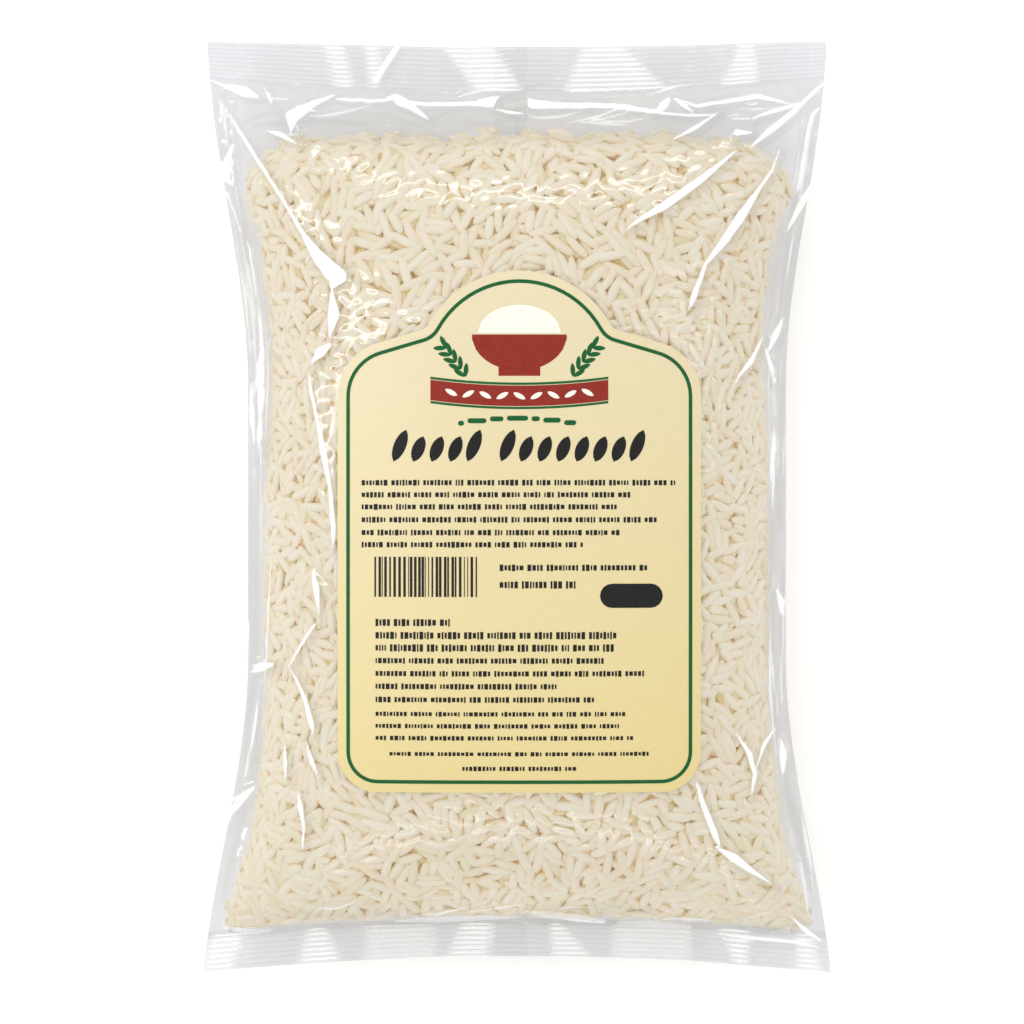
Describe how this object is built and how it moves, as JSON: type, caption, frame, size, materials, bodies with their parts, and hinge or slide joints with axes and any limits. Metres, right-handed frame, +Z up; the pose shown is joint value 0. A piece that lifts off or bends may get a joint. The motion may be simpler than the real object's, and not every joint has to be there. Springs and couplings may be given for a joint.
{
  "type": "sealed clear pillow bag of long-grain rice",
  "caption": "Sealed clear-film pillow bag filled with long-grain rice, lying on its back with crimped end seals and a paper label on the front.",
  "frame": {"origin": "on the floor under the middle of the bag's box, with the bag lying on its back", "axes": "+Z up, out of the labelled front; +Y along the bag to its top seal; +X to the right as the label is seen"},
  "size_m": [0.1696, 0.2516, 0.0526],
  "materials": {
    "film": "clear glossy film, crimped at the end seals and creased by the filling",
    "rice": "cream-white polished grains, slightly translucent, with a soft sheen",
    "label": null
  },
  "bodies": {
    "root": {"bag": "film", "label": "label"}
  },
  "joints": []
}
